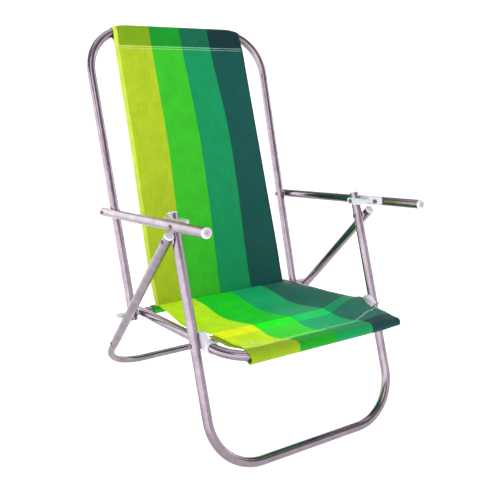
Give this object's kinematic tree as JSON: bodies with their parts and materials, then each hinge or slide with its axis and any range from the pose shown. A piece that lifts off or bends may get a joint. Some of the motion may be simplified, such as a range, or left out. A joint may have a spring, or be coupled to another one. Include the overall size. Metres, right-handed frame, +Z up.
{
  "type": "beach chair",
  "caption": "Folding beach chair with an aluminium tube frame, crossed legs, straight armrests and a striped fabric sling for seat and back.",
  "frame": {"origin": "on the floor, under the middle of the open chair's box", "axes": "+Z up; the chair faces -Y; +X to the sitter's left"},
  "size_m": [0.61, 0.728, 0.9496],
  "materials": {
    "aluminium_tube": "satin drawn tube",
    "steel_rod": "bright drawn rod",
    "zinc_fastener": "zinc plated",
    "white_plastic": "moulded, slightly glossy",
    "striped_sling": "coated plain weave, striped in yellow-green, green, emerald and dark teal"
  },
  "bodies": {
    "front_legs": {"front_leg_frame": "aluminium_tube", "front_leg_caps": "white_plastic", "seat_pivot_bolts": "zinc_fastener", "scissor_bolts": "zinc_fastener", "scissor_washers": "white_plastic", "link_pivot_bolts": "zinc_fastener"},
    "rear_legs": {"right_rear_leg": "aluminium_tube", "left_rear_leg": "aluminium_tube", "rear_floor_bar": "aluminium_tube", "rear_leg_caps": "white_plastic", "rear_leg_screws": "zinc_fastener"},
    "seat": {"seat_frame": "aluminium_tube", "right_seat_saddle": "white_plastic", "left_seat_saddle": "white_plastic", "seat_axle": "steel_rod", "rear_crossbar": "aluminium_tube", "crossbar_bushes": "white_plastic", "leg_rest_sleeves": "white_plastic", "axle_washers": "white_plastic", "seat_sling": "striped_sling", "crossbar_sleeve": "striped_sling"},
    "back": {"back_frame": "aluminium_tube", "back_sling": "striped_sling", "armrest_bolts": "zinc_fastener", "armrest_washers": "white_plastic"},
    "right_arm": {"right_armrest": "aluminium_tube", "right_armrest_plugs": "white_plastic", "right_link_bolt": "zinc_fastener"},
    "left_arm": {"left_armrest": "aluminium_tube", "left_armrest_plugs": "white_plastic", "left_link_bolt": "zinc_fastener"},
    "right_link": {"right_arm_link": "white_plastic"},
    "left_link": {"left_arm_link": "white_plastic"}
  },
  "joints": [
    {"name": "seat_fold", "type": "hinge", "parent": "front_legs", "child": "seat", "pos_m": [0, -0.24536, 0.27624], "axis": [-1, 0, 0], "range_deg": [0, 90]},
    {"name": "back_pivot", "type": "hinge", "parent": "seat", "child": "back", "pos_m": [0, 0.09859, 0.23034], "axis": [-1, 0, 0], "range_deg": [-90, 0]},
    {"name": "rear_leg_pivot", "type": "hinge", "parent": "front_legs", "child": "rear_legs", "pos_m": [0, -0.16258, 0.49189], "axis": [-1, 0, 0], "range_deg": [0, 64]},
    {"name": "right_arm_pivot", "type": "hinge", "parent": "back", "child": "right_arm", "pos_m": [-0.2855, 0.19535, 0.48241], "axis": [-1, 0, 0], "range_deg": [0, 93.7]},
    {"name": "left_arm_pivot", "type": "hinge", "parent": "back", "child": "left_arm", "pos_m": [0.2855, 0.19535, 0.48241], "axis": [-1, 0, 0], "range_deg": [0, 93.7]},
    {"name": "right_link_pivot", "type": "hinge", "parent": "front_legs", "child": "right_link", "pos_m": [-0.2582, -0.1486, 0.5283], "axis": [-1, 0, 0], "range_deg": [0, 113.7]},
    {"name": "left_link_pivot", "type": "hinge", "parent": "front_legs", "child": "left_link", "pos_m": [0.2582, -0.1486, 0.5283], "axis": [-1, 0, 0], "range_deg": [0, 113.7]}
  ],
  "couplings": [
    {"joint": "back_pivot", "follows": "seat_fold", "ratio": -1},
    {"joint": "rear_leg_pivot", "follows": "seat_fold", "ratio": 0.71},
    {"joint": "right_arm_pivot", "follows": "seat_fold", "ratio": 1.04},
    {"joint": "left_arm_pivot", "follows": "seat_fold", "ratio": 1.04},
    {"joint": "right_link_pivot", "follows": "seat_fold", "ratio": 1.262},
    {"joint": "left_link_pivot", "follows": "seat_fold", "ratio": 1.262}
  ]
}
